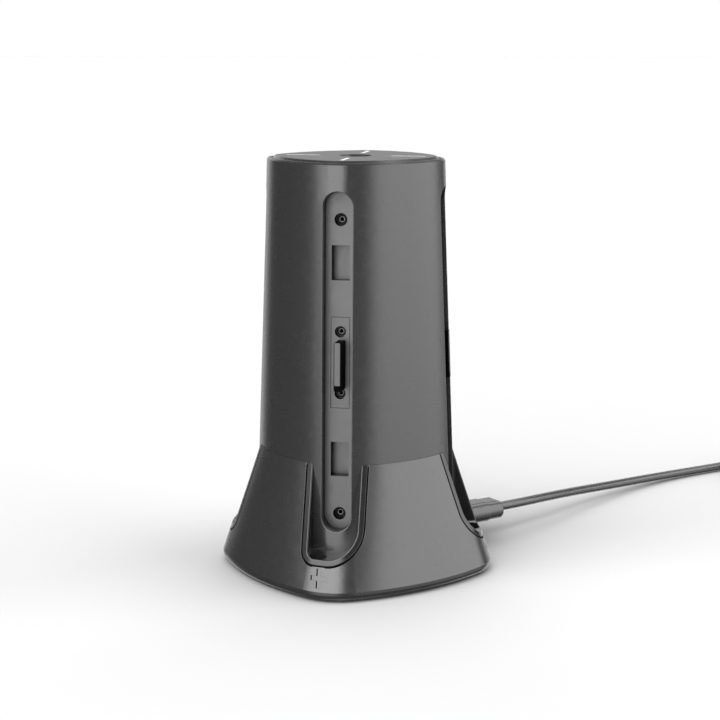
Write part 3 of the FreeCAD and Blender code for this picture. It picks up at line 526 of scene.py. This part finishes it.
def notch_outline():
    """Places round a notch as x and z, with the way out of it there, from the tight side to the wide one."""
    stops = [((-NOTCH_HALF, NOTCH_TOP), (-1, 0))]
    corners = [
        (NOTCH_TIGHT - NOTCH_HALF, NOTCH_TIGHT, math.pi),
        (NOTCH_HALF - NOTCH_WIDE, NOTCH_WIDE, 1.5 * math.pi),
    ]
    for middle, radius, start in corners:
        for step in range(SEAM_STEPS + 1):
            turn = start + math.pi / 2 * step / SEAM_STEPS
            way = (math.cos(turn), math.sin(turn))
            stops.append(((middle + radius * way[0], NOTCH_FLOOR + radius * (1 + way[1])), way))
    stops.append(((NOTCH_HALF, NOTCH_TOP), (1, 0)))
    return stops


def make_seams():
    """Black strip round each pocket liner, over the narrow gap between it and the skirt: painted shade for
    the shadowed gap.
    """
    skirt = surface("base_skirt")
    points = []
    faces = []
    for number, slot in enumerate(SLOTS):
        liner = surface("pocket_liner_" + slot)
        hand = 1 if number % 2 == 0 else -1
        across, inward = slot_ways(number)
        first = len(points)
        for (x, z), (aside, upward) in notch_outline():
            sides = []
            for tree, reach in ((liner, -SEAM_REACH), (skirt, SEAM_REACH)):
                sideways = across * hand * (x + aside * reach)
                origin = sideways - inward + Vector((0, 0, z + upward * reach))
                sides.append(on_surface(tree, origin, inward))
            for reach in (SEAM_INNER, SEAM_OUTER):
                points.append(sides[0].lerp(sides[1], (reach + SEAM_REACH) / (2 * SEAM_REACH)))
        for low in range(first, len(points) - 2, 2):
            faces.append([low, low + 1, low + 3, low + 2][::hand])
    # Painted shade: a black strip laid over the shadowed gap
    new_piece("seam_painted_shade", points, faces, "black_plastic")


make_blades()
make_screw_marks()
make_signs()
make_seams()


# Studio: pale floor, white backdrop and soft lights as parts of the world
# Upright edges of the lights: bearing from the front, lean with height and softness, in degrees
LEFT_START = (-57, -20, 7)
LEFT_END = (13, 8, 6)
RIGHT_START = (48, 14, 6)
RIGHT_END = (126, 0, 6)
BACK_START = (148, 0, 10)
BACK_END = (-137, 0, 12)
# Two heights, as sines of the elevation, and the strength of a light at each
ZENITH_HEIGHTS = (0.86, 0.94)
LEFT_HEIGHTS = (-0.4, 0.8)
LEFT_STRENGTHS = (1.0, 5.8)
RIGHT_HEIGHTS = (-0.4, 0.1)
RIGHT_STRENGTHS = (0.5, 2.45)
RIGHT_TOP_HEIGHTS = (0.4, 0.75)
RIGHT_TOP_STRENGTHS = (0, 0.1)
LOW_BACK_HEIGHTS = (0.3, 0.5)
LOW_BACK_STRENGTHS = (0.65, 0)
HIGH_BACK_HEIGHTS = (0.5, 0.65)
HIGH_BACK_STRENGTHS = (0, 2.3)
FLOOR_HEIGHTS = (-0.75, -0.45)
ROOM_STRENGTH = 0.06
FLOOR_SIZE = 12.0
FLOOR_DROP = 0.02 * MM
FLOOR_COLOUR = (0.755, 0.755, 0.755, 1)
# Painted shadow on the floor: the colour near the stand and how far it reaches
FLOOR_PAINTED_SHADOW_COLOUR = (0.25, 0.25, 0.25, 1)
FLOOR_PAINTED_SHADOW_DISTANCE = 0.06
FLOOR_ROUGHNESS = 0.9
FLOOR_SPECULAR = 0.1
FLOOR_GRAIN_SCALE = 300.0
FLOOR_GRAIN_HEIGHT = 0.0000005


def make_world():
    """Soft lights front left and to the right, and a backdrop that is brighter high up, in a dim room.

    Camera and transmission rays see plain white instead, and so do glossy ones low on the backdrop.
    """
    world = bpy.data.worlds.new("studio")
    scene.world = world
    tree = Tree(world)
    directions = tree.add("ShaderNodeTexCoord")
    split = tree.add("ShaderNodeSeparateXYZ")
    tree.link(directions.outputs["Generated"], split.inputs[0])
    x, y, z = split.outputs
    bearing = tree.math("ARCTAN2", x, tree.math("MULTIPLY", y, -1.0))

    def edge(place, lean, soft, before, after):
        """Soft upright edge at a bearing; lean moves it sideways with height."""
        moved = tree.math("MULTIPLY_ADD", z, math.radians(-lean), bearing) if lean else bearing
        return tree.ramp(moved, math.radians(place - soft), math.radians(place + soft), before, after)

    def product(first, *others):
        """All of the values multiplied."""
        for other in others:
            first = tree.math("MULTIPLY", first, other)
        return first

    below_zenith = tree.ramp(z, *ZENITH_HEIGHTS, 1, 0)
    left_level = tree.ramp(z, *LEFT_HEIGHTS, *LEFT_STRENGTHS, smooth=False)
    left = product(edge(*LEFT_START, 0, 1), edge(*LEFT_END, 1, 0), left_level, below_zenith)
    right_level = tree.math("ADD", tree.ramp(z, *RIGHT_HEIGHTS, *RIGHT_STRENGTHS, smooth=False),
                            tree.ramp(z, *RIGHT_TOP_HEIGHTS, *RIGHT_TOP_STRENGTHS))
    right = product(edge(*RIGHT_START, 0, 1), edge(*RIGHT_END, 1, 0), right_level, below_zenith)
    behind = tree.math("ADD", edge(*BACK_END, 1, 0), edge(*BACK_START, 0, 1))
    low_back = tree.ramp(z, *LOW_BACK_HEIGHTS, *LOW_BACK_STRENGTHS)
    high_back = product(tree.ramp(z, *HIGH_BACK_HEIGHTS, *HIGH_BACK_STRENGTHS), below_zenith)
    backdrop = product(behind, tree.math("ADD", low_back, high_back))
    above_floor = tree.ramp(z, *FLOOR_HEIGHTS, 0, 1)
    lights = tree.math("ADD", tree.math("ADD", left, right), backdrop)
    room = tree.math("MULTIPLY_ADD", lights, above_floor, ROOM_STRENGTH)
    studio = tree.add("ShaderNodeBackground")
    tree.link(room, studio.inputs["Strength"])
    white = tree.add("ShaderNodeBackground", Strength=1.0)
    white.inputs["Color"].default_value = (1, 1, 1, 1)
    path = tree.add("ShaderNodeLightPath")
    mirrored = product(path.outputs["Is Glossy Ray"], behind, tree.ramp(z, *LOW_BACK_HEIGHTS, 1, 0))
    through = tree.math("MAXIMUM", path.outputs["Is Camera Ray"], path.outputs["Is Transmission Ray"])
    mix = tree.add("ShaderNodeMixShader")
    tree.link(tree.math("MAXIMUM", through, mirrored), mix.inputs[0])
    tree.link(studio.outputs[0], mix.inputs[1])
    tree.link(white.outputs[0], mix.inputs[2])
    out = tree.add("ShaderNodeOutputWorld")
    tree.link(mix.outputs[0], out.inputs["Surface"])


def make_floor():
    """Wide pale floor with a very faint grain, with painted shadow: its colour darkens close to what stands
    on it.
    """
    corners = [(-FLOOR_SIZE, -FLOOR_SIZE, 0), (FLOOR_SIZE, -FLOOR_SIZE, 0),
               (FLOOR_SIZE, FLOOR_SIZE, 0), (-FLOOR_SIZE, FLOOR_SIZE, 0)]
    mesh = bpy.data.meshes.new("floor")
    mesh.from_pydata(corners, [], [(0, 1, 2, 3)])
    floor = bpy.data.objects.new("floor", mesh)
    scene.collection.objects.link(floor)
    floor.location.z = -FLOOR_DROP
    material = bpy.data.materials.new("floor_paint")
    tree = Tree(material)
    shader = tree.add("ShaderNodeBsdfPrincipled", Roughness=FLOOR_ROUGHNESS)
    # Painted shadow: ambient occlusion mixes the floor colour towards a dark one near the stand
    painted_shadow_ao = tree.add("ShaderNodeAmbientOcclusion", Distance=FLOOR_PAINTED_SHADOW_DISTANCE)
    paint_with_shadow = tree.add("ShaderNodeMix", data_type="RGBA")
    paint_with_shadow.inputs[6].default_value = FLOOR_PAINTED_SHADOW_COLOUR
    paint_with_shadow.inputs[7].default_value = FLOOR_COLOUR
    tree.link(painted_shadow_ao.outputs["AO"], paint_with_shadow.inputs[0])
    tree.link(paint_with_shadow.outputs[2], shader.inputs["Base Color"])
    shader.inputs["Specular IOR Level"].default_value = FLOOR_SPECULAR
    bump = tree.add("ShaderNodeBump", Strength=GRAIN_STRENGTH, Distance=FLOOR_GRAIN_HEIGHT)
    tree.link(noise(tree, FLOOR_GRAIN_SCALE), bump.inputs["Height"])
    tree.link(bump.outputs[0], shader.inputs["Normal"])
    out = tree.add("ShaderNodeOutputMaterial")
    tree.link(shader.outputs[0], out.inputs["Surface"])
    mesh.materials.append(material)
    floor.visible_glossy = False


make_world()
make_floor()
